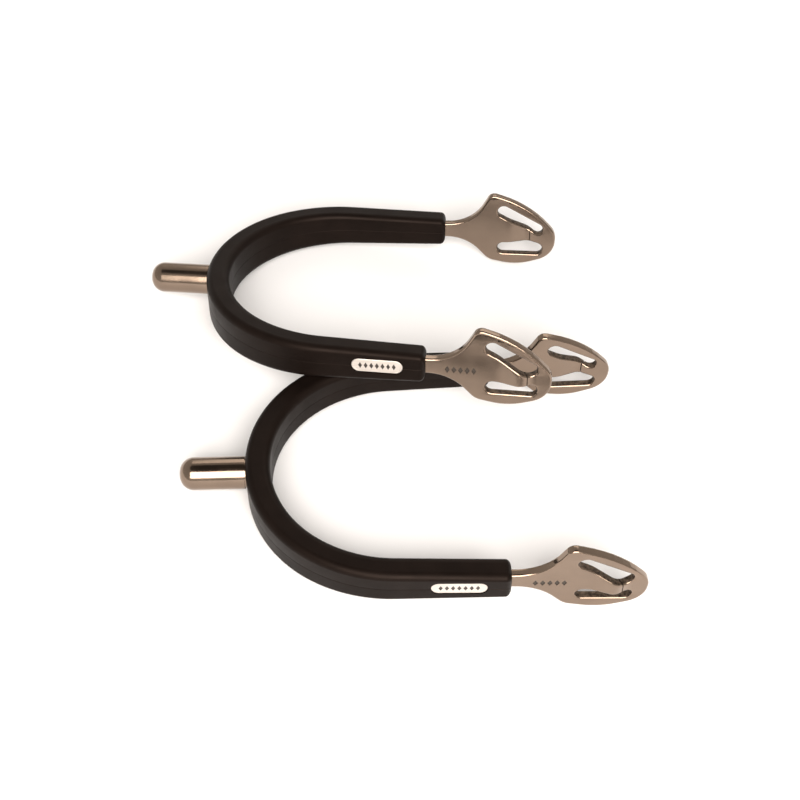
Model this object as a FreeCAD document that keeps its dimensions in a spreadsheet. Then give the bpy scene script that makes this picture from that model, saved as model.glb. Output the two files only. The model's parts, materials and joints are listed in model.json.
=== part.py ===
"""A pair of English riding spurs: one lies flat, the other leans on it.

Each spur has a polished steel yoke (heel band, two arms and two slotted strap
plates), a round-nosed neck on a tenon, a moulded rubber sleeve over the heel
and arms, and a small metal badge let into the outside of each arm.

Spur frame: X runs from the neck at the heel to the strap plates, Y goes
across, Z is up out of the arch's plane, and the heel band's middle is at 0.
"""
import FreeCAD, Part
import math
import os
import Sketcher

os.makedirs("parts", exist_ok=True)

Vec = FreeCAD.Vector
doc = FreeCAD.newDocument("spurs")

# ---------------------------------------------------------------- sizes (mm, degrees)
SIZES = {
    # arch, along the middle of the bar
    "heel_radius": 38.8,
    "heel_angle": 59.5,
    "shoulder_radius": 42.7,
    "shoulder_angle": 29.2,
    "arm_straight": 33.0,
    # steel bar
    "bar_thick": 2.8,
    "bar_tall_heel": 11.0,
    "bar_tall_end": 5.5,
    "bar_edge": 0.6,
    # rubber sleeve
    "wall_side": 2.4,
    "wall_heel": 1.8,
    "wall_end": 2.35,
    "sleeve_round": 1.8,
    "sleeve_end_round": 1.0,
    # neck
    "neck_dia": 10.0,
    "neck_proud": 20.0,
    "neck_nose": 4.2,
    "neck_foot_dia": 9.2,
    "neck_foot_gap": 0.3,
    "tenon_dia": 5.0,
    # strap plate outline, from the sleeve's end and from the middle of the bar
    "flare_top_x": 9.2,
    "flare_top_round": 14.0,
    "peak_x": 15.75,
    "peak_z": 15.0,
    "peak_round": 2.6,
    "brow_x": 30.05,
    "brow_z": 10.6,
    "brow_round": 37.0,
    "tip_x": 39.2,
    "tip_z": -0.3,
    "tip_round": 6.0,
    "chin_x": 38.7,
    "chin_z": -9.2,
    "chin_round": 8.0,
    "base_x": 25.9,
    "base_z": -13.6,
    "base_round": 20.0,
    "jaw_x": 15.5,
    "jaw_z": -11.5,
    "jaw_round": 6.0,
    "flare_low_x": 7.55,
    "flare_low_round": 15.0,
    # strap slots
    "slot_wide": 4.3,
    "upper_slot_x": 20.5,
    "upper_slot_z": 8.2,
    "upper_slot_end_x": 32.3,
    "upper_slot_end_z": 1.5,
    "lower_slot_x": 20.85,
    "lower_slot_z": -6.55,
    "lower_slot_end_x": 32.5,
    # split tongue between the slots, bent outwards
    "tongue_bend_x": 22.5,
    "tongue_crest_x": 29.4,
    "tongue_crest_out": 2.15,
    "bridge_root_x": 33.4,
    "tongue_round": 3.5,
    "slit_inner_x": 28.6,
    "slit_outer_x": 32.2,
    "slit_gap": 0.4,
    # badge
    "badge_long": 16.0,
    "badge_tall": 4.8,
    "badge_thick": 1.0,
    "badge_sunk": 0.15,
    "badge_from_end": 14.8,
    "badge_rise": 0.4,
    "badge_gap": 0.15,
    # how the second spur leans on the first
    "rear_x": -15.4,
    "rear_y": 78.4,
    "rear_yaw": -7.65,
    "rear_pitch": -4.7,
    "rear_roll": -9.7,
    "stack_gap": 0.3,
}

sheet = doc.addObject("Spreadsheet::Sheet", "sizes")
for row, (name, value) in enumerate(SIZES.items(), start=1):
    sheet.set("A%d" % row, name)
    sheet.set("B%d" % row, str(value))
    sheet.setAlias("B%d" % row, name)
doc.recompute()


def size(name):
    """A driving size, read from the sheet."""
    return float(sheet.get(name))


# ---------------------------------------------------------------- derived sizes
# A formula cell is written once here and used by every sketch that needs it.
FORMULAS = {
    "half_bar": "=bar_thick / 2",
    "sleeve_thick": "=bar_thick + 2 * wall_side",
    "turn": "=heel_angle + shoulder_angle",
    "shoulder_cx": "=heel_radius + (shoulder_radius - heel_radius) * cos(heel_angle * 1deg)",
    "shoulder_cy": "=-(shoulder_radius - heel_radius) * sin(heel_angle * 1deg)",
    "arm_start_x": "=shoulder_cx - shoulder_radius * cos(turn * 1deg)",
    "arm_start_y": "=shoulder_cy + shoulder_radius * sin(turn * 1deg)",
    "arm_end_x": "=arm_start_x + arm_straight * sin(turn * 1deg)",
    "arm_end_y": "=arm_start_y + arm_straight * cos(turn * 1deg)",
    "bar_taper": "=(bar_tall_heel - bar_tall_end) / 2 / arm_end_x",
    "sleeve_half_heel": "=bar_tall_heel / 2 + wall_heel",
    "sleeve_half_end": "=bar_tall_end / 2 + wall_end",
    "sleeve_taper": "=(sleeve_half_heel - sleeve_half_end) / arm_end_x",
}
first_formula = len(SIZES) + 2
for row, (name, formula) in enumerate(FORMULAS.items(), start=first_formula):
    sheet.set("A%d" % row, name)
    sheet.set("B%d" % row, formula)
    sheet.setAlias("B%d" % row, name)
doc.recompute()

PAST = 6.0        # how far a blank or a cutter runs past what it makes or cuts
BLANK_TALL = 44.0  # height of the yoke's blank before its outline is cut
SETTLED = 1.02     # the second spur has come down when its gap is this near the wanted one


# ---------------------------------------------------------------- small helpers
def origin_plane(body, role):
    """The XY, XZ or YZ plane of a body's own origin."""
    return next(f for f in body.Origin.OriginFeatures if f.Role == role)


def new_sketch(body, name, role):
    """An empty sketch on one of the body's origin planes."""
    sketch = body.newObject("Sketcher::SketchObject", name)
    sketch.AttachmentSupport = [(origin_plane(body, role), "")]
    sketch.MapMode = "FlatFace"
    doc.recompute()
    return sketch


def bind(sketch, constraint, formula):
    """Add a named driving constraint and tie it to a sheet formula."""
    index = sketch.addConstraint(constraint)
    label = "size_%d" % index
    sketch.renameConstraint(index, label)
    sketch.setExpression("Constraints." + label, formula)


def expression(formula):
    """A formula of sheet names, in the form that an object's expression needs."""
    names = sorted(set(SIZES) | set(FORMULAS), key=len, reverse=True)
    out = formula
    for i, name in enumerate(names):
        out = out.replace(name, "@%d@" % i)
    for i, name in enumerate(names):
        out = out.replace("@%d@" % i, "sizes." + name)
    return out


def value_of(formula):
    """The number that a formula of sheet names stands for now."""
    cell = sheet.evalExpression(expression(formula))
    return float(getattr(cell, "Value", cell))


def place_point(sketch, geo, pos, x, y):
    """Fix one point of a sketch at two sheet formulas."""
    for kind, formula in (("DistanceX", x), ("DistanceY", y)):
        now = value_of(formula)
        bind(sketch, Sketcher.Constraint(kind, -1, 1, geo, pos, now), expression(formula))


def polygon(sketch, corners):
    """A closed polygon whose corners are pairs of sheet formulas."""
    points = [Vec(value_of(x), value_of(y), 0) for x, y in corners]
    count = len(points)
    first = sketch.GeometryCount
    for i in range(count):
        sketch.addGeometry(Part.LineSegment(points[i], points[(i + 1) % count]), False)
    for i in range(count):
        following = first + (i + 1) % count
        sketch.addConstraint(Sketcher.Constraint("Coincident", first + i, 2, following, 1))
        place_point(sketch, first + i, 1, *corners[i])


def frame_outside(sketch, low_x, high_x, half_z):
    """A rectangle round a kept outline, so that a pocket removes all outside it."""
    polygon(sketch, [(low_x, "-(" + half_z + ")"), (high_x, "-(" + half_z + ")"),
                     (high_x, half_z), (low_x, half_z)])


def cut_through(body, sketch, name):
    """Pocket a sketch right through the body, both ways."""
    before = body.Tip.Shape.Volume
    pocket = body.newObject("PartDesign::Pocket", name)
    pocket.Profile = sketch
    pocket.Type = "ThroughAll"
    pocket.Midplane = True
    doc.recompute()
    if pocket.Shape.Volume > before - 0.01:
        raise RuntimeError(name + " cut nothing")
    return pocket


def arch_path(body, name, run_on):
    """Half of the arch's middle line: heel arc, shoulder arc, straight arm."""
    sketch = new_sketch(body, name, "XY_Plane")
    heel_r, heel_a = value_of("heel_radius"), math.radians(value_of("heel_angle"))
    turn = math.radians(value_of("turn"))
    cx, cy = value_of("shoulder_cx"), value_of("shoulder_cy")
    shoulder_r = value_of("shoulder_radius")
    length = value_of(run_on)
    heel_end = Vec(heel_r - heel_r * math.cos(heel_a), heel_r * math.sin(heel_a), 0)
    arm_start = Vec(cx - shoulder_r * math.cos(turn), cy + shoulder_r * math.sin(turn), 0)
    arm_end = arm_start + Vec(math.sin(turn), math.cos(turn), 0) * length
    up = Vec(0, 0, 1)
    heel = Part.ArcOfCircle(Part.Circle(Vec(heel_r, 0, 0), up, heel_r), math.pi - heel_a, math.pi)
    shoulder = Part.ArcOfCircle(Part.Circle(Vec(cx, cy, 0), up, shoulder_r),
                                math.pi - turn, math.pi - heel_a)
    sketch.addGeometry(heel, False)
    sketch.addGeometry(shoulder, False)
    sketch.addGeometry(Part.LineSegment(arm_start, arm_end), False)
    sketch.addConstraint(Sketcher.Constraint("Coincident", 0, 2, -1, 1))
    sketch.addConstraint(Sketcher.Constraint("PointOnObject", 0, 3, -1))
    bind(sketch, Sketcher.Constraint("Radius", 0, heel_r), expression("heel_radius"))
    sketch.addConstraint(Sketcher.Constraint("Coincident", 0, 1, 1, 2))
    sketch.addConstraint(Sketcher.Constraint("Coincident", 1, 1, 2, 1))
    place_point(sketch, 1, 3, "shoulder_cx", "shoulder_cy")
    bind(sketch, Sketcher.Constraint("DistanceX", -1, 1, 2, 1, arm_start.x),
         expression("arm_start_x"))
    place_point(sketch, 2, 2, "arm_start_x + (" + run_on + ") * sin(turn * 1deg)",
                "arm_start_y + (" + run_on + ") * cos(turn * 1deg)")
    heel_end_x = "heel_radius - heel_radius * cos(heel_angle * 1deg)"
    bind(sketch, Sketcher.Constraint("DistanceX", -1, 1, 0, 1, heel_end.x), expression(heel_end_x))
    doc.recompute()
    return sketch


def arch_blank(body, run_on, half_thick, half_tall):
    """A rectangle swept along half the arch and mirrored across it."""
    path = arch_path(body, body.Name + "_path", run_on)
    section = new_sketch(body, body.Name + "_section", "XZ_Plane")
    minus_thick, minus_tall = "-(" + half_thick + ")", "-(" + half_tall + ")"
    polygon(section, [(minus_thick, minus_tall), (half_thick, minus_tall),
                      (half_thick, half_tall), (minus_thick, half_tall)])
    doc.recompute()
    sweep = body.newObject("PartDesign::AdditivePipe", body.Name + "_sweep")
    sweep.Profile = section
    sweep.Spine = (path, [])
    doc.recompute()
    mirror = body.newObject("PartDesign::Mirrored", body.Name + "_mirror")
    mirror.Originals = [sweep]
    mirror.MirrorPlane = (origin_plane(body, "XZ_Plane"), [""])
    body.Tip = mirror
    doc.recompute()
    if mirror.Shape.Volume < 1.9 * sweep.Shape.Volume:
        raise RuntimeError(body.Name + " was not mirrored")
    return mirror


def edges_where(shape, wanted):
    """Names of the edges that a test accepts."""
    return ["Edge%d" % (i + 1) for i, e in enumerate(shape.Edges) if wanted(e)]


def across_edge_at(x, z, near=0.25):
    """A test for edges that run across the spur, at one place in its side view."""
    def wanted(edge):
        ends = [v.Point for v in edge.Vertexes]
        if len(ends) != 2:
            return False
        flat = all(math.hypot(p.x - x, p.z - z) < near for p in ends)
        return flat and abs(ends[0].y - ends[1].y) > 0.5
    return wanted


def fillet(body, name, wanted, radius):
    """Round the edges that a test accepts, with a radius from the sheet."""
    base = body.Tip
    edges = edges_where(base.Shape, wanted)
    if not edges:
        raise RuntimeError(name + " found no edges")
    feature = body.newObject("PartDesign::Fillet", name)
    feature.Base = (base, edges)
    feature.Radius = value_of(radius)
    feature.setExpression("Radius", expression(radius))
    doc.recompute()
    return feature


# ---------------------------------------------------------------- the steel yoke
PLATE = [
    # corner of the plate's outline: x past the sleeve's end, z, and its rounding
    ("flare_top_x", "bar_tall_end / 2", "flare_top_round"),
    ("peak_x", "peak_z", "peak_round"),
    ("brow_x", "brow_z", "brow_round"),
    ("tip_x", "tip_z", "tip_round"),
    ("chin_x", "chin_z", "chin_round"),
    ("base_x", "base_z", "base_round"),
    ("jaw_x", "jaw_z", "jaw_round"),
    ("flare_low_x", "-bar_tall_end / 2", "flare_low_round"),
]
# the strip between the two slots, which carries the bent tongue and bridge
INTO_SLOT = "slot_wide / 8"
WINDOW_START = "upper_slot_x + " + INTO_SLOT
WINDOW_END = "upper_slot_end_x + slot_wide / 2"
SLOT_SLOPE = "(upper_slot_end_z - upper_slot_z) / (upper_slot_end_x - upper_slot_x)"
WINDOW = [
    (WINDOW_START, "upper_slot_z + (" + SLOT_SLOPE + ") * " + INTO_SLOT),
    ("upper_slot_end_x", "upper_slot_end_z"),
    (WINDOW_END, "upper_slot_end_z"),
    (WINDOW_END, "lower_slot_z"),
    (WINDOW_START, "lower_slot_z"),
]

# the slit is a slanting scarf through the crest, from the inner face to the outer
SLIT_INNER_OUT = "-half_bar"
SLIT_OUTER_OUT = "tongue_crest_out + half_bar"
SLIT_TALL = "upper_slot_end_z - lower_slot_z"
SLIT_MIDDLE = "(upper_slot_end_z + lower_slot_z) / 2"


def past_end(x):
    """A place measured from the sleeve's end, as a spur-frame formula."""
    return "arm_end_x + " + x


def in_side_view(corners):
    """Corners measured from the sleeve's end, in the spur's side view."""
    return [(past_end(x), z) for x, z in corners]


def in_plan(along, out, side):
    """A plan point: along the arm from the sleeve's end, and out from its middle."""
    x = "arm_end_x + (%s) * sin(turn * 1deg) - (%s) * cos(turn * 1deg)" % (along, out)
    y = "arm_end_y + (%s) * cos(turn * 1deg) + (%s) * sin(turn * 1deg)" % (along, out)
    return (x, y) if side > 0 else (x, "-(" + y + ")")


def yoke_blank(body):
    """Heel band, arms and strap plates, edges rounded, before the slots are cut."""
    name = body.Name
    arch_blank(body, "arm_straight + tip_x + %g" % PAST, "half_bar", "%g" % (BLANK_TALL / 2))
    outline = new_sketch(body, name + "_outline", "XZ_Plane")
    heel_half = "bar_tall_heel / 2 + bar_taper * %g" % PAST
    corners = [("-%g" % PAST, heel_half), ("arm_end_x", "bar_tall_end / 2")]
    corners += in_side_view([(x, z) for x, z, radius in PLATE])
    corners += [("arm_end_x", "-bar_tall_end / 2"), ("-%g" % PAST, "-(" + heel_half + ")")]
    polygon(outline, corners)
    frame_outside(outline, "-%g" % (2 * PAST), "arm_end_x + tip_x + %g" % (2 * PAST),
                  "%g" % (BLANK_TALL / 2 + 1))
    cut_through(body, outline, name + "_cut")
    for i, (x, z, radius) in enumerate(PLATE):
        at = across_edge_at(value_of(past_end(x)), value_of(z))
        fillet(body, "%s_corner_%d" % (name, i + 1), at, radius)

    def on_a_face(edge):
        box = edge.BoundBox
        return not (box.XLength < 0.2 and box.ZLength < 0.2)
    fillet(body, name + "_edges", on_a_face, "bar_edge")


def tongue_strip(name, side):
    """The strip between the slots, bent outwards to a crest and back to the rim."""
    body = doc.addObject("PartDesign::Body", name)
    plan = new_sketch(body, name + "_plan", "XY_Plane")
    middle = [(WINDOW_START, "0"), ("tongue_bend_x", "0"),
              ("tongue_crest_x", "tongue_crest_out"), ("bridge_root_x", "0"), (WINDOW_END, "0")]
    outer = [in_plan(x, out + " + half_bar", side) for x, out in middle]
    inner = [in_plan(x, out + " - half_bar", side) for x, out in middle]
    polygon(plan, outer + inner[::-1])
    pad = body.newObject("PartDesign::Pad", name + "_pad")
    pad.Profile = plan
    pad.Midplane = True
    pad.Length = BLANK_TALL
    doc.recompute()
    bends = [(value_of(x), value_of(y)) for x, y in outer[1:-1] + inner[1:-1]]

    def at_a_bend(edge):
        ends = [v.Point for v in edge.Vertexes]
        upright = len(ends) == 2 and abs(ends[0].z - ends[1].z) > BLANK_TALL / 2
        return upright and any(math.hypot(ends[0].x - x, ends[0].y - y) < 0.1 for x, y in bends)
    fillet(body, name + "_bends", at_a_bend, "tongue_round")
    window = new_sketch(body, name + "_window", "XZ_Plane")
    polygon(window, in_side_view(WINDOW))
    frame_outside(window, "arm_end_x", "arm_end_x + tip_x + %g" % PAST,
                  "%g" % (BLANK_TALL / 2 + 1))
    cut_through(body, window, name + "_trim")
    return body


def slot_outline(sketch, start, end):
    """A round-ended slot between two centres, given as sheet formulas."""
    a = Vec(value_of(start[0]), value_of(start[1]), 0)
    b = Vec(value_of(end[0]), value_of(end[1]), 0)
    radius = value_of("slot_wide / 2")
    along = (b - a).normalize()
    square = Vec(-along.y, along.x, 0) * radius
    heading = math.atan2(along.y, along.x)
    up = Vec(0, 0, 1)
    first = sketch.GeometryCount
    sketch.addGeometry(Part.LineSegment(a - square, b - square), False)
    sketch.addGeometry(Part.ArcOfCircle(Part.Circle(b, up, radius),
                                        heading - math.pi / 2, heading + math.pi / 2), False)
    sketch.addGeometry(Part.LineSegment(b + square, a + square), False)
    sketch.addGeometry(Part.ArcOfCircle(Part.Circle(a, up, radius),
                                        heading + math.pi / 2, heading + 1.5 * math.pi), False)
    for i in range(4):
        following = first + (i + 1) % 4
        sketch.addConstraint(Sketcher.Constraint("Tangent", first + i, 2, following, 1))
    sketch.addConstraint(Sketcher.Constraint("Equal", first + 1, first + 3))
    bind(sketch, Sketcher.Constraint("Radius", first + 1, radius), expression("slot_wide / 2"))
    place_point(sketch, first + 3, 3, *start)
    place_point(sketch, first + 1, 3, *end)


def yoke(name):
    """The polished steel yoke, one piece from plate to plate."""
    body = doc.addObject("PartDesign::Body", name)
    body.Label = name
    yoke_blank(body)
    window = new_sketch(body, name + "_window", "XZ_Plane")
    polygon(window, in_side_view(WINDOW))
    cut_through(body, window, name + "_window_cut")

    tongues = [tongue_strip(name + "_tongue_" + word, side)
               for word, side in (("left", 1), ("right", -1))]
    joined = body.newObject("PartDesign::Boolean", name + "_tongues")
    joined.Type = "Fuse"
    joined.Group = tongues
    body.Tip = joined
    doc.recompute()

    slots = new_sketch(body, name + "_slots", "XZ_Plane")
    slot_outline(slots, (past_end("upper_slot_x"), "upper_slot_z"),
                 (past_end("upper_slot_end_x"), "upper_slot_end_z"))
    slot_outline(slots, (past_end("lower_slot_x"), "lower_slot_z"),
                 (past_end("lower_slot_end_x"), "lower_slot_z"))
    cut_through(body, slots, name + "_slot_cut")

    slits = new_sketch(body, name + "_slits", "XY_Plane")
    slits.AttachmentOffset.Base.z = value_of(SLIT_MIDDLE)
    slits.setExpression("AttachmentOffset.Base.z", expression(SLIT_MIDDLE))
    for side in (1, -1):
        inner, outer = "slit_inner_x", "slit_outer_x"
        low, high = SLIT_INNER_OUT, SLIT_OUTER_OUT
        polygon(slits, [in_plan(inner, low, side), in_plan(inner + " + slit_gap", low, side),
                        in_plan(outer + " + slit_gap", high, side), in_plan(outer, high, side)])
    before = body.Tip.Shape.Volume
    slit = body.newObject("PartDesign::Pocket", name + "_slit_cut")
    slit.Profile = slits
    slit.Type = "Length"
    slit.Midplane = True
    slit.Length = value_of(SLIT_TALL)
    slit.setExpression("Length", expression(SLIT_TALL))
    doc.recompute()
    if slit.Shape.Volume > before - 0.01:
        raise RuntimeError(name + " has no slits")

    hole = new_sketch(body, name + "_tenon_hole", "YZ_Plane")
    hole.addGeometry(Part.Circle(Vec(0, 0, 0), Vec(0, 0, 1), value_of("tenon_dia / 2")), False)
    hole.addConstraint(Sketcher.Constraint("Coincident", 0, 3, -1, 1))
    bind(hole, Sketcher.Constraint("Radius", 0, value_of("tenon_dia / 2")),
         expression("tenon_dia / 2"))
    cut_through(body, hole, name + "_tenon_hole_cut")
    return body


# ---------------------------------------------------------------- neck, sleeve, badges
def neck_blank(name):
    """Neck, foot and tenon turned in one piece, before it is fitted to the band.
    The foot passes through the sleeve, and the full round starts just clear of it."""
    body = doc.addObject("PartDesign::Body", name)
    profile = new_sketch(body, name + "_profile", "XZ_Plane")
    tip = "-(sleeve_thick / 2 + neck_proud)"
    land = "-(sleeve_thick / 2 + neck_foot_gap)"
    polygon(profile, [("half_bar", "0"), ("half_bar", "tenon_dia / 2"), ("0", "tenon_dia / 2"),
                      ("0", "neck_foot_dia / 2"), (land, "neck_foot_dia / 2"),
                      (land, "neck_dia / 2"), (tip, "neck_dia / 2"), (tip, "0")])
    turned = body.newObject("PartDesign::Revolution", name + "_turned")
    turned.Profile = profile
    turned.ReferenceAxis = (profile, ["H_Axis"])
    turned.Angle = 360
    doc.recompute()
    tip_x = value_of(tip)

    def at_the_tip(edge):
        box = edge.BoundBox
        return abs(box.XMin - tip_x) < 0.01 and box.XLength < 0.01 and box.YLength > 1.0
    fillet(body, name + "_nose", at_the_tip, "neck_nose")
    return body


def sleeve_blank(name):
    """The rubber sleeve's outside: taller at the heel, with soft corners."""
    body = doc.addObject("PartDesign::Body", name)
    arch_blank(body, "arm_straight", "sleeve_thick / 2", "%g" % (BLANK_TALL / 2))
    outline = new_sketch(body, name + "_outline", "XZ_Plane")
    heel_half = "sleeve_half_heel + sleeve_taper * %g" % PAST
    end_half = "sleeve_half_end - sleeve_taper * %g" % PAST
    start, end = "-%g" % PAST, "arm_end_x + %g" % PAST
    polygon(outline, [(start, heel_half), (end, end_half),
                      (end, "-(" + end_half + ")"), (start, "-(" + heel_half + ")")])
    frame_outside(outline, "-%g" % (2 * PAST), "arm_end_x + %g" % (2 * PAST),
                  "%g" % (BLANK_TALL / 2 + 1))
    cut_through(body, outline, name + "_cut")
    fillet(body, name + "_corners", lambda edge: edge.BoundBox.XLength > 5.0, "sleeve_round")
    end_x = value_of("arm_end_x")

    def round_the_end(edge):
        box = edge.BoundBox
        return box.XMin > end_x - 0.6 and box.XLength < 0.6
    fillet(body, name + "_ends", round_the_end, "sleeve_end_round")
    return body


def badge_shape(name, side, grow, depth):
    """A round-ended plate at the outside of an arm; grow makes its recess instead."""
    body = doc.addObject("PartDesign::Body", name)
    face = new_sketch(body, name + "_face", "XZ_Plane")
    half = "(badge_tall / 2 + %s)" % grow
    reach = "(badge_long - badge_tall) / 2"
    a, b = Vec(-value_of(reach), 0, 0), Vec(value_of(reach), 0, 0)
    radius = value_of(half)
    up = Vec(0, 0, 1)
    lift = Vec(0, radius, 0)
    face.addGeometry(Part.LineSegment(a - lift, b - lift), False)
    face.addGeometry(Part.ArcOfCircle(Part.Circle(b, up, radius),
                                      -math.pi / 2, math.pi / 2), False)
    face.addGeometry(Part.LineSegment(b + lift, a + lift), False)
    face.addGeometry(Part.ArcOfCircle(Part.Circle(a, up, radius),
                                      math.pi / 2, 1.5 * math.pi), False)
    for i in range(4):
        face.addConstraint(Sketcher.Constraint("Tangent", i, 2, (i + 1) % 4, 1))
    face.addConstraint(Sketcher.Constraint("Equal", 1, 3))
    bind(face, Sketcher.Constraint("Radius", 1, radius), expression(half))
    place_point(face, 3, 3, "-(" + reach + ")", "0")
    place_point(face, 1, 3, reach, "0")
    pad = body.newObject("PartDesign::Pad", name + "_pad")
    pad.Profile = face
    pad.Length = value_of(depth)
    pad.setExpression("Length", expression(depth))
    pad.Reversed = side > 0
    doc.recompute()
    return body


def badge_place(side):
    """Where a badge's sketch plane sits: its back on the recess floor."""
    turn = math.radians(value_of("turn"))
    back = value_of("sleeve_thick / 2 - badge_thick - badge_sunk")
    along = -value_of("badge_from_end")
    x = value_of("arm_end_x") + along * math.sin(turn) - back * math.cos(turn)
    y = value_of("arm_end_y") + along * math.cos(turn) + back * math.sin(turn)
    splay = side * (90 - value_of("turn"))
    return FreeCAD.Placement(Vec(x, side * y, value_of("badge_rise")),
                             FreeCAD.Rotation(Vec(0, 0, 1), splay))


# ---------------------------------------------------------------- one spur's blanks
def spur_blanks(spur):
    """Every body of one spur, in the spur's own frame."""
    parts = {
        "yoke": yoke(spur + "_yoke"),
        "neck": neck_blank(spur + "_neck_blank"),
        "sleeve": sleeve_blank(spur + "_sleeve_blank"),
    }
    for word, side in (("left", 1), ("right", -1)):
        parts["badge_" + word] = badge_shape(spur + "_badge_" + word, side, "0", "badge_thick")
        parts["recess_" + word] = badge_shape(spur + "_recess_" + word, side, "badge_gap",
                                              "badge_thick + badge_sunk + %g" % PAST)
    return parts


# ---------------------------------------------------------------- how the pair lies
def placed(parts, pose):
    """The yoke, sleeve and neck of one spur as one shape, at a pose."""
    shapes = [parts[key].Shape.copy() for key in ("yoke", "sleeve", "neck")]
    whole = Part.makeCompound(shapes)
    whole.Placement = pose
    return whole


def tight_box(shape):
    """The bounding box of the true surfaces."""
    return shape.optimalBoundingBox(False, False)


def front_pose(parts):
    """Lying on its heel and on both strap plates, so tipped up a little at the toe."""
    plate_drop = -tight_box(parts["yoke"].Shape).ZMin
    reach = value_of("arm_end_x + base_x")
    tip_up = math.degrees(math.atan2(plate_drop - value_of("sleeve_half_heel"), reach))
    return FreeCAD.Placement(Vec(0, 0, 0), FreeCAD.Rotation(0, -tip_up, 0))


def rear_pose(front, rear):
    """Leaning on the front spur: lowered until only the stacking gap is left."""
    turn = FreeCAD.Rotation(size("rear_yaw"), size("rear_pitch"), size("rear_roll"))
    place = Vec(size("rear_x"), size("rear_y"), BLANK_TALL)
    gap = size("stack_gap")
    standing = placed(front, front_pose(front))
    while True:
        pose = FreeCAD.Placement(place, turn)
        room = placed(rear, pose).distToShape(standing)[0]
        if room <= gap * SETTLED:
            return pose
        place = place - Vec(0, 0, room - gap)


blanks = {spur: spur_blanks(spur) for spur in ("front", "rear")}
poses = {"front": front_pose(blanks["front"])}
poses["rear"] = rear_pose(blanks["front"], blanks["rear"])
pair = Part.makeCompound([placed(blanks[spur], poses[spur]) for spur in poses])
box = tight_box(pair)
to_origin = FreeCAD.Placement(
    Vec(-(box.XMin + box.XMax) / 2, -(box.YMin + box.YMax) / 2, -box.ZMin),
    FreeCAD.Rotation())

# ---------------------------------------------------------------- the finished pieces
def boolean(kind, name, base, tool):
    """A Part::Cut or Part::Fuse of two document objects."""
    result = doc.addObject(kind, name)
    result.Base = base
    result.Tool = tool
    return result


nodes = []
for spur, parts in blanks.items():
    pose = to_origin.multiply(poses[spur])
    for key in ("yoke", "neck", "sleeve"):
        parts[key].Placement = pose
    for word, side in (("left", 1), ("right", -1)):
        for key in ("badge_", "recess_"):
            parts[key + word].Placement = pose.multiply(badge_place(side))
    neck = boolean("Part::Cut", spur + "_neck", parts["neck"], parts["yoke"])
    steel = boolean("Part::Fuse", spur + "_steel_core", parts["yoke"], parts["neck"])
    recesses = boolean("Part::Fuse", spur + "_recesses", parts["recess_left"],
                       parts["recess_right"])
    bored = boolean("Part::Cut", spur + "_sleeve_bored", parts["sleeve"], steel)
    sleeve = boolean("Part::Cut", spur + "_sleeve", bored, recesses)
    nodes += [parts["yoke"], neck, sleeve, parts["badge_left"], parts["badge_right"]]
doc.recompute()

for item in doc.Objects:
    if "Invalid" in item.State or "Error" in item.State:
        raise RuntimeError("%s failed: %s" % (item.Label, item.State))
for node in nodes:
    shape = node.Shape
    if shape.isNull() or not shape.isValid() or len(shape.Solids) != 1:
        raise RuntimeError(node.Label + " is not one valid solid")
    shape.exportStep("parts/%s.step" % node.Label)
    print("%-20s %9.1f mm3" % (node.Label, shape.Volume))
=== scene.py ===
import json
import math

import bmesh
import bpy
from mathutils import Matrix, Vector


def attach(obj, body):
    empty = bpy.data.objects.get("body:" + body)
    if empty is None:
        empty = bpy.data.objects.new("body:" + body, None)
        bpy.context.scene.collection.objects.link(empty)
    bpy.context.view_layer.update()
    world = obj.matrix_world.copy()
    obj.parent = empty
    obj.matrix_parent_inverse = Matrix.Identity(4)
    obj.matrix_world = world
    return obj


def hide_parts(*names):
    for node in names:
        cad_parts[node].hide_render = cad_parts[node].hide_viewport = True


# A pair of English riding spurs: polished steel yokes with slotted strap plates,
# round-nosed necks, black rubber sleeves, and a small satin badge on each arm.
# A spur's pieces are shaped in its own frame, in millimetres, and then placed in
# the row frame, in metres, by the matrix that spur_place works out.

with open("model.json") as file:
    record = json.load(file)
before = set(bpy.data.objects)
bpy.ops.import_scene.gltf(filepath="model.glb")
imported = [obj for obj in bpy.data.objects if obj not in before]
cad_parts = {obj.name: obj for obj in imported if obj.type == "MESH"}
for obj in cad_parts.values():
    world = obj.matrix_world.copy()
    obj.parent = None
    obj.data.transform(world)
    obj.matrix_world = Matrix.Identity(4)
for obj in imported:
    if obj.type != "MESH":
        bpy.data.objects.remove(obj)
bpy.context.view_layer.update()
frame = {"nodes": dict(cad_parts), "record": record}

MM = 0.001
SPURS = ("front", "rear")
SIDES = {"left": 1, "right": -1}  # the side of the spur's own Y axis

# ---------------------------------------------------------------- sizes (mm)
HEEL_RADIUS = 38.8
HEEL_ANGLE = math.radians(59.5)
SHOULDER_RADIUS = 42.7
SHOULDER_ANGLE = math.radians(29.2)
ARM_STRAIGHT = 33.0
TURN = HEEL_ANGLE + SHOULDER_ANGLE
HEEL_LONG = HEEL_RADIUS * HEEL_ANGLE
SHOULDER_LONG = SHOULDER_RADIUS * SHOULDER_ANGLE
ARM_END = HEEL_LONG + SHOULDER_LONG + ARM_STRAIGHT

BAR_THICK = 2.8
BAR_TALL_HEEL = 11.0
BAR_TALL_END = 5.5
BAR_EDGE = 0.75

RUBBER_SIDE = 2.4
RUBBER_EDGE_HEEL = 1.8
RUBBER_EDGE_END = 2.35
SLEEVE_THICK = BAR_THICK + 2 * RUBBER_SIDE
SLEEVE_TALL_HEEL = BAR_TALL_HEEL + 2 * RUBBER_EDGE_HEEL
SLEEVE_TALL_END = BAR_TALL_END + 2 * RUBBER_EDGE_END
SLEEVE_ROUND = 2.3
SLEEVE_END_ROUND = 1.7
SEAM_DEEP = 0.10
SEAM_HALF_WIDE = 0.16

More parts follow.
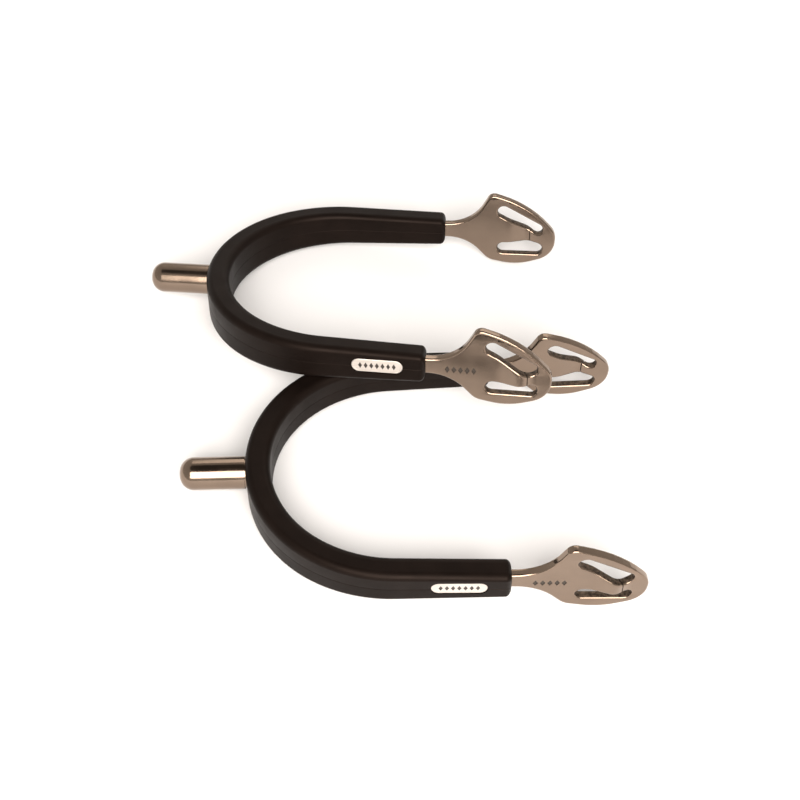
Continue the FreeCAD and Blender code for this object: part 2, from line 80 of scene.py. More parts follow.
NECK_PROUD = 20.0
NECK_NOSE = 4.2
NECK_FOOT_GAP = 0.3

# strap plate: corners past the sleeve's end as along, up and the corner's rounding
PLATE = [
    (9.2, BAR_TALL_END / 2, 14.0),
    (15.75, 15.0, 2.6),
    (30.05, 10.6, 37.0),
    (39.2, -0.3, 6.0),
    (38.7, -9.2, 8.0),
    (25.9, -13.6, 20.0),
    (15.5, -11.5, 6.0),
    (7.55, -BAR_TALL_END / 2, 15.0),
]
SLOT_WIDE = 4.3
UPPER_SLOT = [(20.5, 8.2), (32.3, 1.5)]
LOWER_SLOT = [(20.85, -6.55), (32.5, -6.55)]

# the tongue between the slots: where it bends, and how far out its crest stands
TONGUE_BEND = 22.5
TONGUE_CREST = 29.4
TONGUE_OUT = 2.15
BRIDGE_ROOT = 33.4
TONGUE_SOFT = 1.3
SLIT_INNER = 28.6
SLIT_OUTER = 32.2
SLIT_GAP = 0.4

BADGE_LONG = 16.0
BADGE_TALL = 4.8
BADGE_THICK = 1.0
BADGE_SUNK = 0.15
BADGE_FROM_END = 14.8
BADGE_RISE = 0.4
BADGE_GAP = 0.15
BADGE_RIM = 0.06
BADGE_FIELD = BADGE_SUNK + BADGE_RIM

# rows of lozenges: how many, their spacing, half length and half height
PLATE_MARK = (5, 2.05, 0.8, 1.35)
PLATE_MARK_AT = (10.9, -0.6)
BADGE_MARK = (7, 1.75, 0.62, 1.15)
MARK_DEEP = 0.12


# ---------------------------------------------------------------- where each spur lies
def spur_place(spur):
    """Turns a spur's own frame, in millimetres, into the row frame, from its mounts."""
    mounts = {m["name"]: m for m in frame["record"]["mounts"]}
    neck = mounts[spur + "_neck"]
    left = Vector(mounts[spur + "_left_boot_face"]["pos_m"])
    right = Vector(mounts[spur + "_right_boot_face"]["pos_m"])
    x_axis = -Vector(neck["axis"]).normalized()
    y_axis = (left - right).normalized()
    z_axis = x_axis.cross(y_axis)
    neck_middle = SLEEVE_THICK / 2 + (NECK_FOOT_GAP + NECK_PROUD - NECK_NOSE) / 2
    origin = Vector(neck["pos_m"]) + x_axis * neck_middle * MM
    turn = Matrix((x_axis, y_axis, z_axis)).transposed().to_4x4()
    return Matrix.Translation(origin) @ turn @ Matrix.Scale(MM, 4)


def along_arch(s):
    """Middle of the bar at a distance from the heel, and the direction out of the arch.
    Both are in the spur's plan; a negative distance is on the right-hand arm."""
    side = 1 if s >= 0 else -1
    run = abs(s)
    shoulder_x = HEEL_RADIUS + (SHOULDER_RADIUS - HEEL_RADIUS) * math.cos(HEEL_ANGLE)
    shoulder_y = -(SHOULDER_RADIUS - HEEL_RADIUS) * math.sin(HEEL_ANGLE)
    if run <= HEEL_LONG:
        angle = run / HEEL_RADIUS
        x = HEEL_RADIUS - HEEL_RADIUS * math.cos(angle)
        y = HEEL_RADIUS * math.sin(angle)
    else:
        angle = min(TURN, HEEL_ANGLE + (run - HEEL_LONG) / SHOULDER_RADIUS)
        past = max(0.0, run - HEEL_LONG - SHOULDER_LONG)
        x = shoulder_x - SHOULDER_RADIUS * math.cos(angle) + past * math.sin(TURN)
        y = shoulder_y + SHOULDER_RADIUS * math.sin(angle) + past * math.cos(TURN)
    return Vector((x, side * y, 0)), Vector((-math.cos(angle), side * math.sin(angle), 0))


def on_arch(s, out, up):
    """A point of the spur, from its distance along the bar, out of it and up."""
    middle, outward = along_arch(s)
    return middle + outward * out + Vector((0, 0, up))


def taper(s, at_heel, at_end):
    """A height that runs straight from the heel to the arm's end, in side view."""
    share = min(1.0, along_arch(s)[0].x / along_arch(ARM_END)[0].x)
    return at_heel + (at_end - at_heel) * share


# ---------------------------------------------------------------- mesh helpers
def lofted(rings):
    """Closed bmesh work through rings of points, with a flat face at each end."""
    work = bmesh.new()
    rows = [[work.verts.new(point) for point in ring] for ring in rings]
    for low, high in zip(rows, rows[1:]):
        for i in range(len(low)):
            j = (i + 1) % len(low)
            work.faces.new((low[i], low[j], high[j], high[i]))
    work.faces.new(rows[0])
    work.faces.new(rows[-1])
    return work


def mesh_from(work, name, materials):
    """A mesh from bmesh work, its faces outwards, with its materials."""
    bmesh.ops.recalc_face_normals(work, faces=work.faces)
    mesh = bpy.data.meshes.new(name)
    work.to_mesh(mesh)
    work.free()
    for material in materials:
        mesh.materials.append(material)
    return mesh


def linked(name, data):
    """A new object in the scene."""
    item = bpy.data.objects.new(name, data)
    bpy.context.scene.collection.objects.link(item)
    return item


def evaluated_mesh(item, name):
    """What an object's modifiers or curve make, as a plain mesh; the object goes."""
    graph = bpy.context.evaluated_depsgraph_get()
    mesh = bpy.data.meshes.new_from_object(item.evaluated_get(graph), depsgraph=graph)
    mesh.name = name
    bpy.data.objects.remove(item)
    return mesh


def carved(mesh, cutter):
    """A mesh less its cutter, whose own materials line what it cuts."""
    item = linked("carving", mesh)
    tool = linked("carving_tool", cutter)
    cut = item.modifiers.new("cut", "BOOLEAN")
    cut.object = tool
    cut.solver = "EXACT"
    cut.material_mode = "TRANSFER"
    result = evaluated_mesh(item, mesh.name)
    bpy.data.objects.remove(tool)
    return result


def merged(*meshes):
    """Several meshes as one, with their materials."""
    items = [linked("merging", mesh) for mesh in meshes]
    with bpy.context.temp_override(active_object=items[0], selected_editable_objects=items):
        bpy.ops.object.join()
    mesh = items[0].data
    bpy.data.objects.remove(items[0])
    return mesh


SHARP = math.radians(40)  # faces that meet at more than this keep a crisp edge


def finished(name, mesh, place, body, slot, *nodes):
    """Places a mesh, shades it smooth between its sharp edges, and rides it."""
    mesh.transform(place)
    mesh.polygons.foreach_set("use_smooth", [True] * len(mesh.polygons))
    mesh.set_sharp_from_angle(angle=SHARP)
    item = linked(name + "_shading", mesh)
    even = item.modifiers.new("even", "WEIGHTED_NORMAL")
    even.keep_sharp = True
    piece = linked(name, evaluated_mesh(item, name))
    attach(piece, body)
    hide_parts(*nodes)


# ---------------------------------------------------------------- materials
NOISE_LOW = 0.25  # nearly all of a noise pattern's values lie between these two
NOISE_HIGH = 0.75


def shader(name):
    """A new material, its node tree and its Principled node."""
    material = bpy.data.materials.new(name)
    material.use_nodes = True
    tree = material.node_tree
    return material, tree, tree.nodes["Principled BSDF"]


def add_node(tree, kind, **sockets):
    """A node with some of its inputs set."""
    node = tree.nodes.new(kind)
    for socket, value in sockets.items():
        node.inputs[socket].default_value = value
    return node


def spur_coordinates(tree, place, scale=(1, 1, 1)):
    """Object coordinates in the spur's own frame, in metres, then scaled along its axes."""
    where = tree.nodes.new("ShaderNodeTexCoord")
    turned = tree.nodes.new("ShaderNodeMapping")
    turned.vector_type = "TEXTURE"
    turned.inputs["Location"].default_value = place.to_translation()
    turned.inputs["Rotation"].default_value = place.to_euler("XYZ")
    tree.links.new(where.outputs["Object"], turned.inputs["Vector"])
    stretched = tree.nodes.new("ShaderNodeMapping")
    stretched.inputs["Scale"].default_value = scale
    tree.links.new(turned.outputs["Vector"], stretched.inputs["Vector"])
    return stretched.outputs["Vector"]


def noise(tree, where, scale, detail):
    """A noise pattern on some coordinates."""
    node = add_node(tree, "ShaderNodeTexNoise", Scale=scale, Detail=detail)
    tree.links.new(where, node.inputs["Vector"])
    return node.outputs["Fac"]


def ranged(tree, value, low, high):
    """A noise pattern's value spread over a range."""
    node = add_node(tree, "ShaderNodeMapRange")
    node.inputs["From Min"].default_value = NOISE_LOW
    node.inputs["From Max"].default_value = NOISE_HIGH
    node.inputs["To Min"].default_value = low
    node.inputs["To Max"].default_value = high
    tree.links.new(value, node.inputs["Value"])
    return node.outputs["Result"]


def two_tone(tree, value, dark, light):
    """A colour that a pattern's value moves between two tones."""
    ramp = tree.nodes.new("ShaderNodeValToRGB")
    ramp.color_ramp.elements[0].position = 0.3
    ramp.color_ramp.elements[0].color = (*dark, 1)
    ramp.color_ramp.elements[1].position = 0.7
    ramp.color_ramp.elements[1].color = (*light, 1)
    tree.links.new(value, ramp.inputs["Fac"])
    return ramp.outputs["Color"]


def bumped(tree, skin, value, strength, deep):
    """A pattern's value as a fine relief."""
    bump = add_node(tree, "ShaderNodeBump", Strength=strength, Distance=deep)
    tree.links.new(value, bump.inputs["Height"])
    tree.links.new(bump.outputs["Normal"], skin.inputs["Normal"])


def polished_steel(place):
    """Polished stainless steel: faintly wavy, with soft patches left by buffing."""
    material, tree, skin = shader("polished_steel")
    where = spur_coordinates(tree, place)
    skin.inputs["Metallic"].default_value = 1.0
    tone = two_tone(tree, noise(tree, where, 70.0, 3.0), (0.228, 0.172, 0.132),
                    (0.272, 0.206, 0.159))
    tree.links.new(tone, skin.inputs["Base Color"])
    gloss = ranged(tree, noise(tree, where, 260.0, 4.0), 0.11, 0.19)
    tree.links.new(gloss, skin.inputs["Roughness"])
    bumped(tree, skin, noise(tree, where, 110.0, 2.0), 0.25, 0.0002)
    return material


def rough_steel_painted_shade(place):
    """The unpolished steel inside slots and slits, finely pitted; its near-black tone is partly
    painted shade for the insides of the narrow slots.
    """
    material, tree, skin = shader("unpolished_steel")
    where = spur_coordinates(tree, place)
    skin.inputs["Metallic"].default_value = 0.8
    speckle = noise(tree, where, 1100.0, 5.0)
    # the dark tones are partly unpolished steel and partly painted shade for the insides of the
    # slots and slits
    tone = two_tone(tree, speckle, (0.012, 0.008, 0.005), (0.15, 0.11, 0.08))
    tree.links.new(tone, skin.inputs["Base Color"])
    skin.inputs["Roughness"].default_value = 0.5
    bumped(tree, skin, speckle, 0.6, 0.00012)
    return material


def etched_steel(place):
    """The darkened floor of an engraved mark."""
    material, tree, skin = shader("etched_steel")
    where = spur_coordinates(tree, place)
    skin.inputs["Metallic"].default_value = 0.2
    tone = two_tone(tree, noise(tree, where, 2500.0, 2.0), (0.020, 0.014, 0.010),
                    (0.050, 0.038, 0.028))
    tree.links.new(tone, skin.inputs["Base Color"])
    skin.inputs["Roughness"].default_value = 0.6
    return material


def moulded_rubber(place):
    """Black rubber with the fine grain of its mould and slightly uneven gloss."""
    material, tree, skin = shader("black_rubber")
    where = spur_coordinates(tree, place)
    tone = two_tone(tree, noise(tree, where, 150.0, 4.0), (0.0038, 0.0024, 0.0019),
                    (0.0060, 0.0038, 0.0030))
    tree.links.new(tone, skin.inputs["Base Color"])
    skin.inputs["Specular IOR Level"].default_value = 0.10
    skin.inputs["Specular Tint"].default_value = (1.0, 0.78, 0.68, 1)
    gloss = ranged(tree, noise(tree, where, 120.0, 5.0), 0.38, 0.52)
    tree.links.new(gloss, skin.inputs["Roughness"])
    bumped(tree, skin, noise(tree, where, 2600.0, 3.0), 0.3, 0.00004)
    return material


def satin_metal(place):
    """The badges' pale satin metal, with fine lines brushed along them."""
    material, tree, skin = shader("satin_badge")
    brushed = noise(tree, spur_coordinates(tree, place, (250.0, 250.0, 6000.0)), 1.0, 2.0)
    skin.inputs["Metallic"].default_value = 0.55
    tone = two_tone(tree, brushed, (0.56, 0.51, 0.47), (0.69, 0.64, 0.59))
    tree.links.new(tone, skin.inputs["Base Color"])
    skin.inputs["Roughness"].default_value = 0.38
    bumped(tree, skin, brushed, 0.12, 0.00003)
    return material


def dark_enamel(place):
    """The dark fill of the badge's lozenges."""
    material, tree, skin = shader("dark_enamel")
    where = spur_coordinates(tree, place)
    tone = two_tone(tree, noise(tree, where, 900.0, 2.0), (0.022, 0.017, 0.014),
                    (0.045, 0.036, 0.030))
    tree.links.new(tone, skin.inputs["Base Color"])
    skin.inputs["Roughness"].default_value = 0.35
    return material


# ---------------------------------------------------------------- geometry nodes trees
def geometry_tree(name, inputs):
    """A Geometry Nodes tree with named inputs, and its input node."""
    tree = bpy.data.node_groups.new(name, "GeometryNodeTree")
    face = tree.interface
    face.new_socket(name="Geometry", in_out="INPUT", socket_type="NodeSocketGeometry")
    for socket, kind in inputs.items():
        face.new_socket(name=socket, in_out="INPUT", socket_type="NodeSocket" + kind)
    face.new_socket(name="Geometry", in_out="OUTPUT", socket_type="NodeSocketGeometry")
    return tree, tree.nodes.new("NodeGroupInput")


def tree_end(tree, geometry, material):
    """Ends a tree: copies made real, and a material set."""
    real = tree.nodes.new("GeometryNodeRealizeInstances")
    covered = tree.nodes.new("GeometryNodeSetMaterial")
    result = tree.nodes.new("NodeGroupOutput")
    tree.links.new(geometry, real.inputs["Geometry"])
    tree.links.new(real.outputs["Geometry"], covered.inputs["Geometry"])
    tree.links.new(material, covered.inputs["Material"])
    tree.links.new(covered.outputs["Geometry"], result.inputs["Geometry"])


def wired(tree, node, values):
    """Gives a node's inputs their values in turn, which are sockets or numbers."""
    for socket, value in zip(node.inputs, values):
        if isinstance(value, bpy.types.NodeSocket):
            tree.links.new(value, socket)
        else:
            socket.default_value = value
    return node.outputs[0]


def math_node(tree, operation, first, second):
    """One step of arithmetic."""
    step = tree.nodes.new("ShaderNodeMath")
    step.operation = operation
    return wired(tree, step, (first, second))


def vector_node(tree, x=0.0, y=0.0, z=0.0):
    """A vector from its three parts."""
    return wired(tree, tree.nodes.new("ShaderNodeCombineXYZ"), (x, y, z))


def made_by(tree, name, values):
    """What a tree makes from its inputs' values, as a plain mesh."""
    item = linked(name, bpy.data.meshes.new(name))
    made = item.modifiers.new("made", "NODES")
    made.node_group = tree
    for socket in tree.interface.items_tree:
        if socket.in_out == "INPUT" and socket.name in values:
            made[socket.identifier] = values[socket.name]
    return evaluated_mesh(item, name)


def lozenge_row_tree():
    """A centred row of lozenge prisms along X."""
    tree, given = geometry_tree("lozenge_row", {
        "Count": "Int", "Spacing": "Float", "Half length": "Float", "Half height": "Float",
        "Depth": "Float", "Fill": "Material"})
    size = given.outputs
    prism = tree.nodes.new("GeometryNodeMeshCylinder")
    prism.inputs["Vertices"].default_value = 4
    tree.links.new(size["Depth"], prism.inputs["Depth"])
    shaped = tree.nodes.new("GeometryNodeTransform")
    tree.links.new(prism.outputs["Mesh"], shaped.inputs["Geometry"])
    stretch = vector_node(tree, size["Half length"], size["Half height"], 1.0)
    tree.links.new(stretch, shaped.inputs["Scale"])
    gaps = math_node(tree, "SUBTRACT", size["Count"], 1.0)
    long = math_node(tree, "MULTIPLY", gaps, size["Spacing"])
    start = math_node(tree, "MULTIPLY", long, -0.5)
    line = tree.nodes.new("GeometryNodeMeshLine")
    tree.links.new(size["Count"], line.inputs["Count"])
    tree.links.new(vector_node(tree, start), line.inputs["Start Location"])
    tree.links.new(vector_node(tree, size["Spacing"]), line.inputs["Offset"])
    copies = tree.nodes.new("GeometryNodeInstanceOnPoints")
    tree.links.new(line.outputs["Mesh"], copies.inputs["Points"])
    tree.links.new(shaped.outputs["Geometry"], copies.inputs["Instance"])
    tree_end(tree, copies.outputs["Instances"], size["Fill"])
    return tree


def swept_sleeve_tree():
    """A section swept along a path and sized by its radius, its height falling with X."""
    tree, given = geometry_tree("swept_sleeve", {
        "Path": "Object", "Section": "Object", "Reach": "Float", "Height lost": "Float",
        "Rubber": "Material"})
    swept = tree.nodes.new("GeometryNodeCurveToMesh")
    swept.inputs["Fill Caps"].default_value = True
    for name, socket in (("Path", "Curve"), ("Section", "Profile Curve")):
        held = tree.nodes.new("GeometryNodeObjectInfo")
        tree.links.new(given.outputs[name], held.inputs["Object"])
        tree.links.new(held.outputs["Geometry"], swept.inputs[socket])
    girth = tree.nodes.new("GeometryNodeInputRadius")
    tree.links.new(girth.outputs["Radius"], swept.inputs["Scale"])
    place = tree.nodes.new("GeometryNodeInputPosition")
    parts = tree.nodes.new("ShaderNodeSeparateXYZ")
    tree.links.new(place.outputs["Position"], parts.inputs["Vector"])
    share = math_node(tree, "DIVIDE", parts.outputs["X"], given.outputs["Reach"])
    lost = math_node(tree, "MULTIPLY", share, given.outputs["Height lost"])
    kept = math_node(tree, "SUBTRACT", 1.0, lost)
    height = math_node(tree, "MULTIPLY", parts.outputs["Z"], kept)
    moved = tree.nodes.new("GeometryNodeSetPosition")
    tree.links.new(swept.outputs["Mesh"], moved.inputs["Geometry"])
    tree.links.new(vector_node(tree, parts.outputs["X"], parts.outputs["Y"], height),
                   moved.inputs["Position"])
    tree_end(tree, moved.outputs["Geometry"], given.outputs["Rubber"])
    return tree


LOZENGE_ROW = lozenge_row_tree()
SWEPT_SLEEVE = swept_sleeve_tree()


def lozenge_row(row, fill):
    """A row of lozenge prisms as a mesh: along X, up Y and out Z, from its middle."""
    count, spacing, half_long, half_tall = row
    return made_by(LOZENGE_ROW, "lozenges", {
        "Count": count, "Spacing": spacing, "Half length": half_long,
        "Half height": half_tall, "Depth": 2 * MARK_DEEP, "Fill": fill})


# ---------------------------------------------------------------- steel yoke
ARC_STEP = math.radians(5)
ARM_STEP = 2.0
EDGE_STEPS = 4
ARCH_CUTS = 60  # cuts across each half of the bow, so that it bends smoothly
TONGUE_CUTS = 39
TONGUE_CUT_STEP = 0.35
FOLD_SAMPLES = 9
WELD = 0.001
SLIVER = 0.002
ON_CUT = 0.01  # a corner this near a cut counts as being on it
UNPOLISHED_SHADED_LEAN = 0.57  # a slot's faces are unpolished, and darkened as painted shade, until they turn out by this much
UNPOLISHED_SHADED_REACH = 0.3


def arc(centre, radius, start, sweep):
    """Points along an arc."""
    steps = max(2, math.ceil(abs(sweep) / ARC_STEP))
    return [(centre[0] + radius * math.cos(start + sweep * i / steps),
             centre[1] + radius * math.sin(start + sweep * i / steps)) for i in range(steps + 1)]


def rounded_corner(before, corner, after, radius):
    """Points of the arc that rounds one corner of an outline."""
    corner = Vector(corner)
    back = (Vector(before) - corner).normalized()
    ahead = (Vector(after) - corner).normalized()
    half = back.angle(ahead) / 2
    centre = corner + (back + ahead).normalized() * radius / math.sin(half)
    first = corner + back * radius / math.tan(half) - centre
    last = corner + ahead * radius / math.tan(half) - centre
    start = math.atan2(first.y, first.x)
    sweep = (math.atan2(last.y, last.x) - start + math.pi) % (2 * math.pi) - math.pi
    return arc(centre, radius, start, sweep)


def round_ended(centres, wide):
    """The outline of a slot or badge with round ends, from the ends' centres."""
    a, b = Vector(centres[0]), Vector(centres[1])
    heading = math.atan2((b - a).y, (b - a).x)
    return (arc(b, wide / 2, heading - math.pi / 2, math.pi)
            + arc(a, wide / 2, heading + math.pi / 2, math.pi))


def yoke_outline():
    """The yoke laid out flat: distance along the bar, and up."""
    route = [(ARM_END, BAR_TALL_END / 2)]
    route += [(ARM_END + along, up) for along, up, rounding in PLATE]
    route.append((ARM_END, -BAR_TALL_END / 2))
    radii = [rounding for along, up, rounding in PLATE]
    plate = []
    for before, corner, after, radius in zip(route, route[1:], route[2:], radii):
        plate += rounded_corner(before, corner, after, radius)
    steps = round(ARM_END / ARM_STEP)
    arm = []
    for i in range(steps + 1):
        s = ARM_END * i / steps
        arm.append((s, taper(s, BAR_TALL_HEEL, BAR_TALL_END) / 2))
    half = arm + plate + [(s, -up) for s, up in reversed(arm)]
    return half + [(-s, up) for s, up in reversed(half[1:-1])]


def flat_yoke():
    """The yoke as flat stock with its slots, its edges rounded, in millimetres."""
    loops = [yoke_outline()]
    for centres in (UPPER_SLOT, LOWER_SLOT):
        for side in SIDES.values():
            loop = round_ended([(ARM_END + along, up) for along, up in centres], SLOT_WIDE)
            loops.append([(side * s, up) for s, up in loop])
    curve = bpy.data.curves.new("flat_yoke", "CURVE")
    curve.dimensions = "2D"
    curve.fill_mode = "BOTH"
    curve.extrude = BAR_THICK / 2 - BAR_EDGE
    curve.bevel_depth = BAR_EDGE
    curve.bevel_resolution = EDGE_STEPS
    curve.offset = -BAR_EDGE
    for loop in loops:
        spline = curve.splines.new("POLY")
        spline.points.add(len(loop) - 1)
        for point, (s, up) in zip(spline.points, loop):
            point.co = (s, up, 0, 1)
        spline.use_cyclic_u = True
    return evaluated_mesh(linked("flat_yoke", curve), "flat_yoke")


def on_line(centres, along):
    """Height of a slot's middle line at a place along the plate."""
    (a, low), (b, high) = centres
    share = min(1.0, max(0.0, (along - a) / (b - a)))
    return low + (high - low) * share


def tongue_lift(s, up):
    """How far out the tongue between the slots is bent, at a point of the flat yoke."""
    along = abs(s) - ARM_END
    if not TONGUE_BEND - TONGUE_SOFT < along < BRIDGE_ROOT + TONGUE_SOFT:
        return 0.0
    if not on_line(LOWER_SLOT, along) < up < on_line(UPPER_SLOT, along):
        return 0.0

    def folded(at):
        """The lift if both folds were sharp."""
        rise = (at - TONGUE_BEND) / (TONGUE_CREST - TONGUE_BEND)
        fall = (BRIDGE_ROOT - at) / (BRIDGE_ROOT - TONGUE_CREST)
        return TONGUE_OUT * max(0.0, min(rise, fall))

    spread = [TONGUE_SOFT * (2 * i / (FOLD_SAMPLES - 1) - 1) for i in range(FOLD_SAMPLES)]
    return sum(folded(along + shift) for shift in spread) / FOLD_SAMPLES


def in_slot(s, up):
    """Whether a point of the flat yoke is on a slot's wall or just over its edge."""
    point = Vector((abs(s) - ARM_END, up))
    for centres in (UPPER_SLOT, LOWER_SLOT):
        a, b = Vector(centres[0]), Vector(centres[1])
        share = min(1.0, max(0.0, (point - a).dot(b - a) / (b - a).length_squared))
        if (point - a.lerp(b, share)).length < SLOT_WIDE / 2 + UNPOLISHED_SHADED_REACH:
            return True
    return False


def slit_cutter(side):
    """The slanting slit that parts the tongue from the bridge, as a thin blade."""
    slope = (SLIT_OUTER - SLIT_INNER) / (TONGUE_OUT + BAR_THICK)
    low, high = -BAR_THICK, TONGUE_OUT + BAR_THICK
    blade = []
    for up in (LOWER_SLOT[1][1], UPPER_SLOT[1][1]):
        ring = []
        for out, extra in ((low, 0), (low, SLIT_GAP), (high, SLIT_GAP), (high, 0)):
            along = SLIT_INNER + slope * (out + BAR_THICK / 2) + extra
            ring.append((side * (ARM_END + along), up, out))
        blade.append(ring)
    return lofted(blade)


def cut_across(work, s):
    """Cuts the flat yoke across on both arms, at a distance from the heel."""
    for side in SIDES.values():
        everything = work.verts[:] + work.edges[:] + work.faces[:]
        bmesh.ops.bisect_plane(work, geom=everything, plane_co=(side * s, 0, 0),
                               plane_no=(1, 0, 0), dist=ON_CUT)


def flat_tongued_yoke(name, steel, rough_and_shaded):
    """The yoke still flat, with its tongues bent out and its slot walls unpolished and darkened
    as painted shade.
    """
    work = bmesh.new()
    work.from_mesh(flat_yoke())
    bmesh.ops.remove_doubles(work, verts=work.verts, dist=WELD)
    for i in range(ARCH_CUTS + 1):
        cut_across(work, (HEEL_LONG + SHOULDER_LONG) * i / ARCH_CUTS)
    for i in range(TONGUE_CUTS):
        cut_across(work, ARM_END + TONGUE_BEND - TONGUE_SOFT + TONGUE_CUT_STEP * i)
    bmesh.ops.dissolve_degenerate(work, edges=work.edges, dist=SLIVER)
    bmesh.ops.recalc_face_normals(work, faces=work.faces)
    for face in work.faces:
        middle = face.calc_center_median()
        # slot walls and the edges just over them take the dark steel: unpolished, and darkened
        # as painted shade
        if abs(face.normal.z) < UNPOLISHED_SHADED_LEAN and in_slot(middle.x, middle.y):
            face.material_index = 1
    for vert in work.verts:
        vert.co.z += tongue_lift(vert.co.x, vert.co.y)
    return mesh_from(work, name, (steel, rough_and_shaded))


def yoke_mesh(name, steel, rough_and_shaded, etched):
    """The yoke: slit and engraved while it is flat, and then bent round the boot."""
    # the slits are lined with the dark steel, whose darkness is partly painted shade
    cutters = [mesh_from(slit_cutter(side), "slit", (rough_and_shaded,)) for side in SIDES.values()]
    for side in SIDES.values():
        mark = lozenge_row(PLATE_MARK, etched)
        along, up = PLATE_MARK_AT
        mark.transform(Matrix.Translation((side * (ARM_END + along), up, BAR_THICK / 2)))
        cutters.append(mark)
    mesh = carved(flat_tongued_yoke(name, steel, rough_and_shaded), merged(*cutters))

    work = bmesh.new()
    work.from_mesh(mesh)
    bmesh.ops.remove_doubles(work, verts=work.verts, dist=WELD)
    bmesh.ops.dissolve_degenerate(work, edges=work.edges, dist=WELD)
    # carving leaves a few hairline gaps
    chinks = [edge for edge in work.edges if edge.is_boundary]
    bmesh.ops.holes_fill(work, edges=chinks, sides=4)
    for vert in work.verts:
        s, up, out = vert.co
        vert.co = on_arch(s, out, up)
    return mesh_from(work, name, mesh.materials[:])


# ---------------------------------------------------------------- rubber sleeve
END_STEPS = 7
SLEEVE_STEP = 1.2
RECESS_OVER = 2.0  # how far a recess's cutter stands out of the rubber


def sleeve_section():
    """The sleeve's section at the heel, with the mould's seam on both faces."""
    half_thick, half_tall = SLEEVE_THICK / 2, SLEEVE_TALL_HEEL / 2
    corner = (half_thick - SLEEVE_ROUND, half_tall - SLEEVE_ROUND)
    upper = [(half_thick - SEAM_DEEP, 0.0), (half_thick, SEAM_HALF_WIDE)]
    upper += arc(corner, SLEEVE_ROUND, 0, math.pi / 2)
    upper += [(-out, up) for out, up in reversed(upper)]
    return upper + [(-out, -up) for out, up in upper[1:-1]]


def sleeve_path():
    """Points of the bar's middle line, each with its share of the sleeve's full girth."""
    reach = ARM_END - SLEEVE_END_ROUND
    count = round(2 * reach / SLEEVE_STEP)
    stations = [(-reach + 2 * reach * i / count, 1.0) for i in range(count + 1)]
    for i in range(1, END_STEPS + 1):
        angle = math.pi / 2 * i / END_STEPS
        past = reach + SLEEVE_END_ROUND * math.sin(angle)
        girth = 1 - SLEEVE_END_ROUND * (1 - math.cos(angle)) / (SLEEVE_THICK / 2)
        stations.append((past, girth))
        stations.insert(0, (-past, girth))
    return [(along_arch(s)[0], girth) for s, girth in stations]


def bare_curve(name, points, closed):
    """A curve through points that each have a radius, kept upright along its way."""
    curve = bpy.data.curves.new(name, "CURVE")
    curve.dimensions = "3D"
    curve.twist_mode = "Z_UP"
    spline = curve.splines.new("POLY")
    spline.points.add(len(points) - 1)
    for point, (place, girth) in zip(spline.points, points):
        point.co = (*place, 1)
        point.radius = girth
    spline.use_cyclic_u = closed
    return linked(name, curve)


def sleeve_mesh(name, rubber):
    """The sleeve, with flat ends that the bar comes out of and a recess for each badge."""
    path = bare_curve("sleeve_path", sleeve_path(), False)
    around = [(Vector((out, up, 0)), 1.0) for out, up in sleeve_section()]
    section = bare_curve("sleeve_section", around, True)
    mesh = made_by(SWEPT_SLEEVE, name, {
        "Path": path, "Section": section, "Reach": along_arch(ARM_END)[0].x,
        "Height lost": 1 - SLEEVE_TALL_END / SLEEVE_TALL_HEEL, "Rubber": rubber})
    bpy.data.objects.remove(path)
    bpy.data.objects.remove(section)

    # carving needs the sweep's faces to look outwards
    work = bmesh.new()
    work.from_mesh(mesh)
    mesh = mesh_from(work, name, (rubber,))

    cutters = []
    for side in SIDES.values():
        levels = (-BADGE_SUNK - BADGE_THICK, RECESS_OVER)
        rings = [badge_ring(side, -BADGE_GAP, out) for out in levels]
        cutters.append(mesh_from(lofted(rings), "recess", (rubber,)))
    return carved(mesh, merged(*cutters))


# ---------------------------------------------------------------- badges
def badge_ring(side, inset, out):
    """A badge's outline, drawn in by an inset, at a height out of the sleeve's face."""
    long, tall = BADGE_LONG - 2 * inset, BADGE_TALL - 2 * inset
    reach = (long - tall) / 2
    outline = round_ended([(-reach, 0), (reach, 0)], tall)
    middle = ARM_END - BADGE_FROM_END
    return [on_arch(side * (middle + along), SLEEVE_THICK / 2 + out, BADGE_RISE + up)
            for along, up in outline]


def badge_mesh(name, side, satin, enamel):
    """A badge: a rounded rim that stands over its field, and a row of dark lozenges."""
    levels = [  # how far in from the edge, and how far out of the sleeve's face
        (0.0, -BADGE_SUNK - BADGE_THICK),
        (0.0, -BADGE_SUNK - 0.20),
        (0.06, -BADGE_SUNK - 0.07),
        (0.20, -BADGE_SUNK),
        (0.36, -BADGE_SUNK),
        (0.46, -BADGE_FIELD),
        (1.60, -BADGE_FIELD),
    ]
    rings = [badge_ring(side, inset, out) for inset, out in levels]
    mesh = mesh_from(lofted(rings), name, (satin, enamel))
    row = lozenge_row(BADGE_MARK, enamel)
    for vert in row.vertices:
        along, up, out = vert.co
        s = ARM_END - BADGE_FROM_END + along
        out += SLEEVE_THICK / 2 - BADGE_FIELD
        vert.co = on_arch(side * s, out, BADGE_RISE + up)
    if side > 0:  # the left arm mirrors the row, which turns its faces inwards
        row.flip_normals()
    return carved(mesh, row)


# ---------------------------------------------------------------- put the pair together
for spur in SPURS:
    body = spur + "_spur"
    place = spur_place(spur)
    steel = polished_steel(place)
    rough_and_shaded = rough_steel_painted_shade(place)
    etched = etched_steel(place)
    satin = satin_metal(place)
    enamel = dark_enamel(place)
    rubber = moulded_rubber(place)

    neck = frame["nodes"][spur + "_neck"]
    neck.data.materials.clear()
    neck.data.materials.append(steel)

    name = spur + "_yoke_polished"
    finished(name, yoke_mesh(name, steel, rough_and_shaded, etched), place, body, "polished_steel",
             spur + "_yoke")
    name = spur + "_sleeve_moulded"
    finished(name, sleeve_mesh(name, rubber), place, body, "black_rubber", spur + "_sleeve")
    for word, side in SIDES.items():
        name = "%s_badge_plate_%s" % (spur, word)
        finished(name, badge_mesh(name, side, satin, enamel), place, body, "satin_badge",
                 "%s_badge_%s" % (spur, word))

